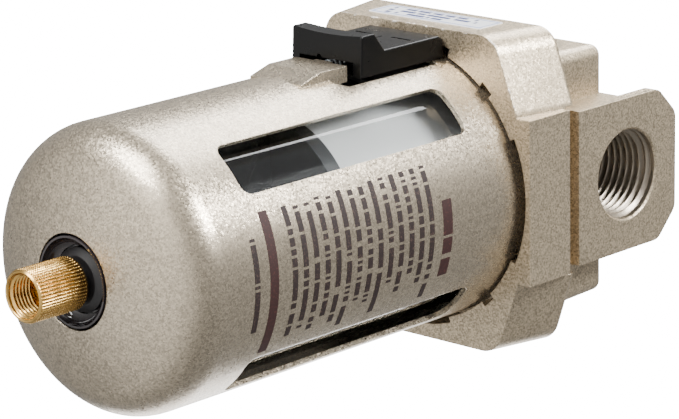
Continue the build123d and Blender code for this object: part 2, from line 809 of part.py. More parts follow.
with BuildPart() as knob_ring:
    add(ring(knob_ring_r, stem_r + stem_fit, ring_top, ring_bottom))
knob_ring.part.label = "knob_ring"

with BuildPart() as drain_knob:
    with BuildSketch(level(knob_bottom)):
        Circle(knob_r)
    extrude(amount=knob_bottom - knob_top)
    chamfer(edges(), length=knob_chamfer)
    with BuildSketch(level(knob_bottom)):
        Circle(knob_thread_r)
    extrude(amount=knob_thread_depth, mode=Mode.SUBTRACT)
    with BuildSketch(level(knob_bottom - knob_thread_depth)):
        Circle(drain_nipple_r + knob_nipple_clearance)
    extrude(amount=knob_relief_depth, mode=Mode.SUBTRACT)
    with BuildSketch(level(web_top)):
        Circle(drain_nipple_r + knob_nipple_clearance)
    extrude(amount=web_top - knob_top, mode=Mode.SUBTRACT)
    with BuildSketch(level(web_bottom)):
        Circle(stem_r + knob_nipple_clearance)
        with PolarLocations((knob_ring_r + drain_nipple_r) / 2, knob_drip_holes):
            Circle(knob_drip_r)
    extrude(amount=knob_web, mode=Mode.SUBTRACT)
drain_knob.part.label = "drain_knob"

# ---- Export ----------------------------------------------------------------------------------------------
os.makedirs("parts", exist_ok=True)
export_step(head_body.part, "parts/head_body.step")
export_step(head_label.part, "parts/head_label.step")
export_step(bowl_guard.part, "parts/bowl_guard.step")
export_step(bowl.part, "parts/bowl.step")
export_step(bowl_o_ring.part, "parts/bowl_o_ring.step")
export_step(deflector_gasket.part, "parts/deflector_gasket.step")
export_step(swirl_deflector.part, "parts/swirl_deflector.step")
export_step(element_top_seal.part, "parts/element_top_seal.step")
export_step(filter_element.part, "parts/filter_element.step")
export_step(element_bottom_seal.part, "parts/element_bottom_seal.step")
export_step(baffle.part, "parts/baffle.step")
export_step(bolt_washer.part, "parts/bolt_washer.step")
export_step(centre_bolt.part, "parts/centre_bolt.step")
export_step(lock_button.part, "parts/lock_button.step")
export_step(lock_clip.part, "parts/lock_clip.step")
export_step(lock_spring.part, "parts/lock_spring.step")
export_step(drain_body.part, "parts/drain_body.step")
export_step(drain_gasket.part, "parts/drain_gasket.step")
export_step(drain_nut.part, "parts/drain_nut.step")
export_step(drain_stem.part, "parts/drain_stem.step")
export_step(valve_seal.part, "parts/valve_seal.step")
export_step(knob_ring.part, "parts/knob_ring.step")
export_step(drain_knob.part, "parts/drain_knob.step")
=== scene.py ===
"""Looks of the modular compressed air filter, built round its CAD frame.

Everything is in metres, in the frame's own axes: +X along the air flow, +Z up, and the front faces -Y.
Each sub-assembly is a class: its sizes are fields, and its build method makes and dresses its pieces.
"""

import logging
import math
from dataclasses import dataclass, field
from enum import Enum

import bmesh
import bpy
from mathutils import Matrix, Vector


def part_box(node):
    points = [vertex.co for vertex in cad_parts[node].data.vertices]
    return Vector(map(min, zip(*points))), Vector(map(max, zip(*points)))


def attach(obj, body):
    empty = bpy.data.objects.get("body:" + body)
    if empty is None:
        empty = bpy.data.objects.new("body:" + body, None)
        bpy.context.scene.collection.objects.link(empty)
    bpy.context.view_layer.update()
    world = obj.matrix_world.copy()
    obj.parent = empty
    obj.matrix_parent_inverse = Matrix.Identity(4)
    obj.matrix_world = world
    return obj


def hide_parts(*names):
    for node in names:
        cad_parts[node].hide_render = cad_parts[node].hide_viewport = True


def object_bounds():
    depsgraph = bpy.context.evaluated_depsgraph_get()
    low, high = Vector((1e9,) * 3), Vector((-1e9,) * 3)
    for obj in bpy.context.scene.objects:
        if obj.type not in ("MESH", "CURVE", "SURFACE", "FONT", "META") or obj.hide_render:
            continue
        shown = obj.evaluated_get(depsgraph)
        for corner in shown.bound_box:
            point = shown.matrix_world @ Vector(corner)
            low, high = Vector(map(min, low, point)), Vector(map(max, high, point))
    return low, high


log = logging.getLogger("air_filter")
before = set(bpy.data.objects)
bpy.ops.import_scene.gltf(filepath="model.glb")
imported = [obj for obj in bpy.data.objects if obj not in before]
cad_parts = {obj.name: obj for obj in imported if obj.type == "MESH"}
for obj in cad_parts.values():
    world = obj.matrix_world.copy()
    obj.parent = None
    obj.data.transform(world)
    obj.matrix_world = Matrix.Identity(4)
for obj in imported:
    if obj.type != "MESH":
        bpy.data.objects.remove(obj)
cad_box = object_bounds()

MM = 0.001
Value = float | int | tuple | str | bpy.types.NodeSocket


class Body(Enum):
    """The frame's moving bodies that new pieces ride on."""

    HEAD = "head"
    BOWL = "bowl_assembly"
    KNOB = "knob"


def linear(hex_colour: str) -> tuple[float, float, float, float]:
    """Turns an sRGB hex colour such as "#bcb2a6" into linear RGBA."""
    parts = [int(hex_colour[i : i + 2], 16) / 255 for i in (1, 3, 5)]
    rgb = [c / 12.92 if c <= 0.04045 else ((c + 0.055) / 1.055) ** 2.4 for c in parts]
    return (*rgb, 1.0)


def add(
    tree: bpy.types.NodeTree,
    kind: str,
    inputs: dict[str | int, Value] | None = None,
    **settings: Value | bool,
) -> bpy.types.Node:
    """Adds one node to a tree.

    Args:
        tree: The shader or geometry tree.
        kind: The node's type.
        inputs: Socket name or number to a plain value, or to the output socket that feeds it.
        **settings: Attributes of the node, such as operation.

    Returns:
        The new node.
    """
    node = tree.nodes.new(kind)
    for name, value in settings.items():
        setattr(node, name, value)
    for key, value in (inputs or {}).items():
        if isinstance(value, bpy.types.NodeSocket):
            tree.links.new(value, node.inputs[key])
        else:
            node.inputs[key].default_value = value
    return node


def maths(
    tree: bpy.types.NodeTree, operation: str, *values: Value, clamp: bool = False
) -> bpy.types.NodeSocket:
    """Adds one Math node and returns its result."""
    inputs = dict(enumerate(values))
    return add(tree, "ShaderNodeMath", inputs, operation=operation, use_clamp=clamp).outputs[0]


# ---- Finishes ---------------------------------------------------------------------------------------------


@dataclass(frozen=True)
class Finish:
    """A finish with its own material. Sub-classes fill in the shader."""

    name: str
    colour: str
    roughness: float

    def start(self) -> tuple[bpy.types.Material, bpy.types.NodeTree, bpy.types.Node, bpy.types.NodeSocket]:
        """Makes the material, its Principled shader, and object coordinates in millimetres.

        Returns:
            The material, its tree, the shader node and the coordinates' socket.
        """
        material = bpy.data.materials.new(self.name)
        material.use_nodes = True
        tree = material.node_tree
        shader = tree.nodes["Principled BSDF"]
        shader.inputs["Base Color"].default_value = linear(self.colour)
        shader.inputs["Roughness"].default_value = self.roughness
        place = add(tree, "ShaderNodeTexCoord").outputs["Object"]
        scaled = add(tree, "ShaderNodeVectorMath", {0: place, "Scale": 1 / MM}, operation="SCALE")
        return material, tree, shader, scaled.outputs["Vector"]

    def build(self) -> bpy.types.Material:
        """Makes the material."""
        raise NotImplementedError


@dataclass(frozen=True)
class FlakePaint(Finish):
    """Champagne metallic lacquer: aluminium flakes under a clear coat, sprayed and baked.

    The eye gets a soft, warm grey sheen with fine bright grain. Real flakes are near 0.05 mm, too fine to
    show, so they are drawn as coarse as grain_mm.
    """

    grain_mm: float = 0.34
    contrast: float = 0.2
    tilt: float = 0.34
    peel_mm: float = 1.6
    peel: float = 0.03
    metallic: float = 0.72
    coat: float = 0.3
    edge_mm: float = 0.35

    def build(self) -> bpy.types.Material:
        """Makes the lacquer with flakes that differ in brightness and lean."""
        material, tree, shader, place = self.start()
        flakes = add(tree, "ShaderNodeTexVoronoi", {"Vector": place, "Scale": 1 / self.grain_mm})
        split = add(tree, "ShaderNodeSeparateColor", {0: flakes.outputs["Color"]})
        level = add(
            tree,
            "ShaderNodeMapRange",
            {"Value": split.outputs[0], "To Min": 1 - self.contrast, "To Max": 1 + self.contrast},
        )
        tone = add(tree, "ShaderNodeTexNoise", {"Vector": place, "Scale": 0.09, "Detail": 2.0})
        drift = add(tree, "ShaderNodeMapRange", {"Value": tone.outputs[0], "To Min": 0.94, "To Max": 1.06})
        bright = maths(tree, "MULTIPLY", level.outputs[0], drift.outputs[0])
        painted = add(
            tree, "ShaderNodeVectorMath", {0: linear(self.colour)[:3], "Scale": bright}, operation="SCALE"
        )
        tree.links.new(painted.outputs["Vector"], shader.inputs["Base Color"])
        rough = add(
            tree,
            "ShaderNodeMapRange",
            {"Value": split.outputs[1], "To Min": self.roughness - 0.08, "To Max": self.roughness + 0.1},
        )
        tree.links.new(rough.outputs[0], shader.inputs["Roughness"])
        rounded = add(tree, "ShaderNodeBevel", {"Radius": self.edge_mm * MM}, samples=4)
        peel = add(tree, "ShaderNodeTexNoise", {"Vector": place, "Scale": 1 / self.peel_mm, "Detail": 3.0})
        bump = add(
            tree,
            "ShaderNodeBump",
            {"Height": peel.outputs[0], "Strength": self.peel, "Distance": MM, "Normal": rounded.outputs[0]},
        )
        centred = add(
            tree,
            "ShaderNodeVectorMath",
            {0: flakes.outputs["Color"], 1: (0.5, 0.5, 0.5)},
            operation="SUBTRACT",
        )
        lean = add(
            tree, "ShaderNodeVectorMath", {0: centred.outputs[0], "Scale": self.tilt}, operation="SCALE"
        )
        leaning = add(tree, "ShaderNodeVectorMath", {0: bump.outputs[0], 1: lean.outputs[0]}, operation="ADD")
        facing = add(tree, "ShaderNodeVectorMath", {0: leaning.outputs[0]}, operation="NORMALIZE")
        tree.links.new(facing.outputs[0], shader.inputs["Normal"])
        tree.links.new(bump.outputs[0], shader.inputs["Coat Normal"])
        shader.inputs["Metallic"].default_value = self.metallic
        shader.inputs["Coat Weight"].default_value = self.coat
        shader.inputs["Coat Roughness"].default_value = 0.22
        return material


@dataclass(frozen=True)
class Moulded(Finish):
    """Injection moulded polymer or rubber: an even colour with a fine spark-eroded grain.

    The eye gets a satin surface whose highlight breaks up slightly, and edges that catch the light.
    """

    grain_mm: float = 0.25
    grain: float = 0.12
    mottle: float = 0.08
    coat: float = 0.0
    ior: float = 1.5
    edge_mm: float = 0.2

    def build(self) -> bpy.types.Material:
        """Makes the moulded surface."""
        material, tree, shader, place = self.start()
        grain = add(tree, "ShaderNodeTexNoise", {"Vector": place, "Scale": 1 / self.grain_mm, "Detail": 3.0})
        cloud = add(tree, "ShaderNodeTexNoise", {"Vector": place, "Scale": 0.3, "Detail": 2.0})
        rough = add(
            tree,
            "ShaderNodeMapRange",
            {
                "Value": cloud.outputs[0],
                "To Min": self.roughness - self.mottle,
                "To Max": self.roughness + self.mottle,
            },
        )
        tree.links.new(rough.outputs[0], shader.inputs["Roughness"])
        level = add(tree, "ShaderNodeMapRange", {"Value": grain.outputs[0], "To Min": 0.85, "To Max": 1.15})
        shade = add(
            tree,
            "ShaderNodeVectorMath",
            {0: linear(self.colour)[:3], "Scale": level.outputs[0]},
            operation="SCALE",
        )
        tree.links.new(shade.outputs[0], shader.inputs["Base Color"])
        rounded = add(tree, "ShaderNodeBevel", {"Radius": self.edge_mm * MM}, samples=4)
        bump = add(
            tree,
            "ShaderNodeBump",
            {
                "Height": grain.outputs[0],
                "Strength": self.grain,
                "Distance": 0.1 * MM,
                "Normal": rounded.outputs[0],
            },
        )
        tree.links.new(bump.outputs[0], shader.inputs["Normal"])
        shader.inputs["IOR"].default_value = self.ior
        shader.inputs["Coat Weight"].default_value = self.coat
        return material


@dataclass(frozen=True)
class Metal(Finish):
    """Bare turned or drawn metal: fine tool marks round the bowl's axis, and slight tarnish.

    The eye gets a bright, warm or cold reflection streaked along the cut, darker where it is tarnished.
    """

    tarnish: str = "#8a5a2c"
    tarnish_share: float = 0.35
    cut_mm: float = 0.12
    cut: float = 0.25

    def build(self) -> bpy.types.Material:
        """Makes the metal with its tool marks and tarnish."""
        material, tree, shader, place = self.start()
        shader.inputs["Metallic"].default_value = 1.0
        cloud = add(tree, "ShaderNodeTexNoise", {"Vector": place, "Scale": 0.55, "Detail": 4.0})
        spots = add(
            tree, "ShaderNodeMapRange", {"Value": cloud.outputs[0], "From Min": 0.4, "From Max": 0.75}
        )
        share = maths(tree, "MULTIPLY", spots.outputs[0], self.tarnish_share)
        mix = add(
            tree,
            "ShaderNodeMix",
            {0: share, "A": linear(self.colour), "B": linear(self.tarnish)},
            data_type="RGBA",
        )
        tree.links.new(mix.outputs["Result"], shader.inputs["Base Color"])
        along = add(tree, "ShaderNodeMapping", {"Vector": place, "Scale": (0.4, 0.4, 1 / self.cut_mm)})
        cuts = add(tree, "ShaderNodeTexNoise", {"Vector": along.outputs[0], "Scale": 1.0, "Detail": 2.0})
        bump = add(
            tree,
            "ShaderNodeBump",
            {"Height": cuts.outputs[0], "Strength": self.cut, "Distance": 0.03 * MM},
        )
        tree.links.new(bump.outputs[0], shader.inputs["Normal"])
        rough = add(
            tree,
            "ShaderNodeMapRange",
            {"Value": cloud.outputs[0], "To Min": self.roughness - 0.06, "To Max": self.roughness + 0.1},
        )
        tree.links.new(rough.outputs[0], shader.inputs["Roughness"])
        return material


@dataclass(frozen=True)
class ClearPolymer(Finish):
    """Clear moulded polycarbonate: a glossy wall that darkens what is behind it, with faint wipe marks."""

    ior: float = 1.585
    haze_mm: float = 0.5
    boss_colour: str = "#2c2729"
    boss_top_mm: float = -130.0

    def build(self) -> bpy.types.Material:
        """Makes the clear wall, its roughness broken by fine wipe marks."""
        material, tree, shader, place = self.start()
        drawn = add(tree, "ShaderNodeMapping", {"Vector": place, "Scale": (2.0, 2.0, 0.12)})
        marks = add(
            tree,
            "ShaderNodeTexNoise",
            {"Vector": drawn.outputs[0], "Scale": 1 / self.haze_mm, "Detail": 5.0, "Roughness": 0.7},
        )
        rough = add(
            tree,
            "ShaderNodeMapRange",
            {
                "Value": marks.outputs[0],
                "From Min": 0.55,
                "From Max": 0.8,
                "To Min": self.roughness,
                "To Max": self.roughness + 0.14,
            },
        )
        tree.links.new(rough.outputs[0], shader.inputs["Roughness"])
        height = add(tree, "ShaderNodeSeparateXYZ", {0: place}).outputs[2]
        above = maths(tree, "GREATER_THAN", height, self.boss_top_mm)
        mix = add(
            tree,
            "ShaderNodeMix",
            {0: above, "A": linear(self.boss_colour), "B": linear(self.colour)},
            data_type="RGBA",
        )
        tree.links.new(mix.outputs["Result"], shader.inputs["Base Color"])
        tree.links.new(above, shader.inputs["Transmission Weight"])
        self.let_light_through(tree, shader, above)
        shader.inputs["IOR"].default_value = self.ior
        return material


    def let_light_through(
        self, tree: bpy.types.NodeTree, shader: bpy.types.Node, above: bpy.types.NodeSocket
    ) -> None:
        """Lets shadow rays pass the clear wall, so that what is inside is lit as through a real wall."""
        is_shadow = add(tree, "ShaderNodeLightPath").outputs["Is Shadow Ray"]
        share = maths(tree, "MULTIPLY", is_shadow, above)
        clear = add(tree, "ShaderNodeBsdfTransparent", {0: linear(self.colour)})
        mix = add(tree, "ShaderNodeMixShader", {0: share, 1: shader.outputs[0], 2: clear.outputs[0]})
        tree.links.new(mix.outputs[0], tree.nodes["Material Output"].inputs["Surface"])


@dataclass(frozen=True)
class BondedFibre(Finish):
    """White resin-bonded fibre tube: matt, chalky, with a felted grain about half a millimetre across."""

    fibre_mm: float = 0.5

    def build(self) -> bpy.types.Material:
        """Makes the felted surface."""
        material, tree, shader, place = self.start()
        felt = add(
            tree,
            "ShaderNodeTexNoise",
            {"Vector": place, "Scale": 1 / self.fibre_mm, "Detail": 6.0, "Roughness": 0.7, "Distortion": 1.5},
        )
        level = add(tree, "ShaderNodeMapRange", {"Value": felt.outputs[0], "To Min": 0.88, "To Max": 1.08})
        shade = add(
            tree,
            "ShaderNodeVectorMath",
            {0: linear(self.colour)[:3], "Scale": level.outputs[0]},
            operation="SCALE",
        )
        tree.links.new(shade.outputs[0], shader.inputs["Base Color"])
        bump = add(
            tree, "ShaderNodeBump", {"Height": felt.outputs[0], "Strength": 0.5, "Distance": 0.2 * MM}
        )
        tree.links.new(bump.outputs[0], shader.inputs["Normal"])
        shader.inputs["Sheen Weight"].default_value = 0.2
        return material


@dataclass(frozen=True)
class ScreenInk(Finish):
    """Screen-printed ink: matt, slightly uneven where the paint's grain shows through."""

    worn: str = "#8d6b62"
    worn_mm: float = 0.45

    def build(self) -> bpy.types.Material:
        """Makes the ink with its thin spots."""
        material, tree, shader, place = self.start()
        thin = add(tree, "ShaderNodeTexNoise", {"Vector": place, "Scale": 1 / self.worn_mm, "Detail": 4.0})
        spots = add(
            tree,
            "ShaderNodeMapRange",
            {"Value": thin.outputs[0], "From Min": 0.55, "From Max": 0.72, "To Max": 0.8},
        )
        mix = add(
            tree,
            "ShaderNodeMix",
            {0: spots.outputs[0], "A": linear(self.colour), "B": linear(self.worn)},
            data_type="RGBA",
        )
        tree.links.new(mix.outputs["Result"], shader.inputs["Base Color"])
        return material


@dataclass(frozen=True)
class FloorPaint(Finish):
    """Matt white paint of the studio floor, as pale to the eye as the surroundings."""

    seen: float = 4.0

    def build(self) -> bpy.types.Material:
        """Makes the paint, lit up only where it is looked at, so that it adds no light from below."""
        material, tree, shader, _ = self.start()
        is_seen = add(tree, "ShaderNodeLightPath").outputs["Is Camera Ray"]
        shader.inputs["Emission Color"].default_value = linear(self.colour)
        glow = maths(tree, "MULTIPLY", is_seen, self.seen)
        tree.links.new(glow, shader.inputs["Emission Strength"])
        return material


@dataclass(frozen=True)
class PrintedFilm(Finish):
    """Pale self-adhesive film with a gloss laminate: nearly white, with a thin printed border."""

    border: str = "#5f7cc4"
    centre: tuple[float, float] = (0.0, 0.0)
    half: tuple[float, float] = (0.0, 0.0)
    line_mm: float = 0.5
    inset_mm: float = 0.8

    def build(self) -> bpy.types.Material:
        """Makes the film, with the border drawn from the distance to the sticker's edge."""
        material, tree, shader, place = self.start()
        split = add(tree, "ShaderNodeSeparateXYZ", {0: place})
        gaps = []
        for axis, middle, half in zip((0, 2), self.centre, self.half):
            off = maths(tree, "SUBTRACT", split.outputs[axis], middle / MM)
            gaps.append(maths(tree, "SUBTRACT", half / MM, maths(tree, "ABSOLUTE", off)))
        nearest = maths(tree, "MINIMUM", *gaps)
        on_line = maths(tree, "COMPARE", nearest, self.inset_mm, self.line_mm / 2)
        cloud = add(tree, "ShaderNodeTexNoise", {"Vector": place, "Scale": 0.4, "Detail": 2.0})
        strength = maths(tree, "MULTIPLY", on_line, maths(tree, "ADD", cloud.outputs[0], 0.3), clamp=True)
        mix = add(
            tree,
            "ShaderNodeMix",
            {0: strength, "A": linear(self.colour), "B": linear(self.border)},
            data_type="RGBA",
        )
        tree.links.new(mix.outputs["Result"], shader.inputs["Base Color"])
        shader.inputs["Coat Weight"].default_value = 0.6
        shader.inputs["Coat Roughness"].default_value = 0.05
        return material


# ---- Making pieces ----------------------------------------------------------------------------------------


def geometry_tree(name: str, inputs: dict[str, tuple[str, Value | None]]) -> bpy.types.NodeTree:
    """Starts a Geometry Nodes tree.

    Args:
        name: The tree's name.
        inputs: Each input's name to its socket type and default value.

    Returns:
        The tree, with its inputs and one geometry output, and no nodes yet.
    """
    tree = bpy.data.node_groups.new(name, "GeometryNodeTree")
    tree.interface.new_socket("Geometry", in_out="INPUT", socket_type="NodeSocketGeometry")
    for label, (kind, default) in inputs.items():
        socket = tree.interface.new_socket(label, in_out="INPUT", socket_type=kind)
        if default is not None:
            socket.default_value = default
    tree.interface.new_socket("Geometry", in_out="OUTPUT", socket_type="NodeSocketGeometry")
    return tree


def end_tree(tree: bpy.types.NodeTree, shape: bpy.types.NodeSocket, material: bpy.types.NodeSocket) -> None:
    """Ends a tree in Realize Instances and Set Material."""
    real = add(tree, "GeometryNodeRealizeInstances", {0: shape})
    dressed = add(tree, "GeometryNodeSetMaterial", {"Geometry": real.outputs[0], "Material": material})
    add(tree, "NodeGroupOutput", {0: dressed.outputs[0]})


def grow(
    name: str,
    tree: bpy.types.NodeTree,
    values: dict[str, Value],
    material: bpy.types.Material,
    path: list[Vector] | None = None,
) -> bpy.types.Object:
    """Runs a Geometry Nodes tree once and keeps its result as a plain mesh.

    Args:
        name: The piece's name.
        tree: The tree to run.
        values: Input name to value.
        material: The material that the tree sets.
        path: Points of a line that the tree reads as its incoming geometry.

    Returns:
        The finished piece, with no modifier, at the origin.
    """
    points = [tuple(p) for p in (path or [])]
    seed_mesh = bpy.data.meshes.new(name + "_path")
    seed_mesh.from_pydata(points, [(i, i + 1) for i in range(len(points) - 1)], [])
    holder = bpy.data.objects.new(name, seed_mesh)
    bpy.context.scene.collection.objects.link(holder)
    modifier = holder.modifiers.new("Make", "NODES")
    modifier.node_group = tree
    sockets = {s.name: s.identifier for s in tree.interface.items_tree if s.in_out == "INPUT"}
    for label, value in {**values, "Material": material}.items():
        modifier[sockets[label]] = value
    evaluated = holder.evaluated_get(bpy.context.evaluated_depsgraph_get())
    result = bpy.data.meshes.new_from_object(evaluated)
    holder.modifiers.remove(modifier)
    holder.data = result
    face_outwards(result)
    return holder


def face_outwards(mesh: bpy.types.Mesh) -> None:
    """Merges a closed mesh's doubles and points its faces outwards."""
    work = bmesh.new()
    work.from_mesh(mesh)
    bmesh.ops.remove_doubles(work, verts=work.verts, dist=1e-7)
    bmesh.ops.recalc_face_normals(work, faces=work.faces)
    work.to_mesh(mesh)
    work.free()


def shade_smooth(piece: bpy.types.Object, angle: float = 40.0) -> None:
    """Shades a mesh smooth, with creases sharper than an angle in degrees."""
    mesh = piece.data
    mesh.shade_smooth()
    mesh.set_sharp_from_angle(angle=math.radians(angle))


def dress(material: bpy.types.Material, *nodes: str) -> None:
    """Gives CAD nodes a material, in their own material slots."""
    for name in nodes:
        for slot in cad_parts[name].material_slots:
            slot.material = material
        log.info("%s: %s", name, material.name)


def settle(piece: bpy.types.Object, body: Body, slot: str, *replaced: str) -> None:
    """Ties a finished piece to its body, and hides the CAD nodes that it stands for."""
    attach(piece, body.value)
    if replaced:
        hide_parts(*replaced)
    log.info("%s rides on %s, %d faces", piece.name, body.value, len(piece.data.polygons))


def turned_tree() -> bpy.types.NodeTree:
    """Builds the tree that turns a profile round +Z, and cuts a thread and a straight knurl into it.

    The incoming line is the profile, with the radius along X and the depth from the mouth along Z. Where
    it lies at Thread Radius a right-hand thread is cut, and where it lies at Knurl Radius a knurl is.

    Returns:
        The tree.
    """
    tree = geometry_tree(
        "TurnedPart",
        {
            "Columns": ("NodeSocketInt", 96),
            "Rows": ("NodeSocketInt", 2),
            "Thread Radius": ("NodeSocketFloat", 0.0),
            "Thread Depth": ("NodeSocketFloat", 0.0),
            "Thread Pitch": ("NodeSocketFloat", 1.0),
            "Lead In": ("NodeSocketFloat", 0.0),
            "Knurl Radius": ("NodeSocketFloat", 1.0),
            "Knurl Teeth": ("NodeSocketFloat", 1.0),
            "Knurl Depth": ("NodeSocketFloat", 0.0),
            "Cross Pitch": ("NodeSocketFloat", 1.0),
            "Place": ("NodeSocketVector", (0.0, 0.0, 0.0)),
            "Turn": ("NodeSocketVector", (0.0, 0.0, 0.0)),
            "Material": ("NodeSocketMaterial", None),
        },
    )
    given = add(tree, "NodeGroupInput").outputs
    near = 0.02 * MM
    steps = maths(tree, "ADD", given["Columns"], 1.0)
    sheet = add(tree, "GeometryNodeMeshGrid", {"Vertices X": steps, "Vertices Y": given["Rows"]})
    index = add(tree, "GeometryNodeInputIndex").outputs[0]
    row = maths(tree, "MODULO", index, given["Rows"])
    column = maths(tree, "FLOOR", maths(tree, "DIVIDE", index, given["Rows"]))
    share = maths(tree, "DIVIDE", column, given["Columns"])
    profile = add(
        tree,
        "GeometryNodeSampleIndex",
        {"Geometry": given["Geometry"], "Index": row},
        data_type="FLOAT_VECTOR",
    )
    tree.links.new(add(tree, "GeometryNodeInputPosition").outputs[0], profile.inputs["Value"])
    spot = add(tree, "ShaderNodeSeparateXYZ", {0: profile.outputs[0]}).outputs
    radius, depth = spot["X"], spot["Z"]

    turns = maths(tree, "SUBTRACT", maths(tree, "DIVIDE", depth, given["Thread Pitch"]), share)
    wave = maths(tree, "ABSOLUTE", maths(tree, "SUBTRACT", maths(tree, "FRACT", turns), 0.5))
    flank = maths(tree, "MULTIPLY_ADD", wave, 2.7, -0.175, clamp=True)
    runs_in = maths(tree, "DIVIDE", maths(tree, "SUBTRACT", depth, given["Lead In"]), 1.2 * MM, clamp=True)
    threaded = maths(tree, "COMPARE", radius, given["Thread Radius"], near)
    cut = maths(tree, "MULTIPLY", maths(tree, "MULTIPLY", flank, runs_in), threaded)
    thread = maths(tree, "MULTIPLY", cut, given["Thread Depth"])

    tooth = maths(tree, "FRACT", maths(tree, "MULTIPLY", share, given["Knurl Teeth"]))
    groove = maths(tree, "MULTIPLY", maths(tree, "ABSOLUTE", maths(tree, "SUBTRACT", tooth, 0.5)), 2.0)
    valley = maths(tree, "POWER", groove, 1.6)
    cross_rate = maths(tree, "DIVIDE", math.tau, given["Cross Pitch"])
    cross_wave = maths(tree, "SINE", maths(tree, "MULTIPLY", depth, cross_rate))
    cross = maths(tree, "MULTIPLY_ADD", cross_wave, 0.22, 0.22)
    bite = maths(tree, "ADD", valley, maths(tree, "MULTIPLY", cross, maths(tree, "SUBTRACT", 1.0, valley)))
    knurled = maths(tree, "COMPARE", radius, given["Knurl Radius"], near)
    knurl = maths(tree, "MULTIPLY", maths(tree, "MULTIPLY", bite, knurled), given["Knurl Depth"])

    cut_radius = maths(tree, "SUBTRACT", maths(tree, "SUBTRACT", radius, thread), knurl)
    angle = maths(tree, "MULTIPLY", share, math.tau)
    round_place = add(
        tree,
        "ShaderNodeCombineXYZ",
        {
            "X": maths(tree, "MULTIPLY", cut_radius, maths(tree, "COSINE", angle)),
            "Y": maths(tree, "MULTIPLY", cut_radius, maths(tree, "SINE", angle)),
            "Z": depth,
        },
    )
    turned = add(
        tree,
        "GeometryNodeSetPosition",
        {"Geometry": sheet.outputs[0], "Position": round_place.outputs[0]},
    )
    closed = add(tree, "GeometryNodeMergeByDistance", {"Geometry": turned.outputs[0], "Distance": 1e-6})
    placed = add(
        tree,
        "GeometryNodeTransform",
        {"Geometry": closed.outputs[0], "Translation": given["Place"], "Rotation": given["Turn"]},
    )
    end_tree(tree, placed.outputs[0], given["Material"])
    return tree


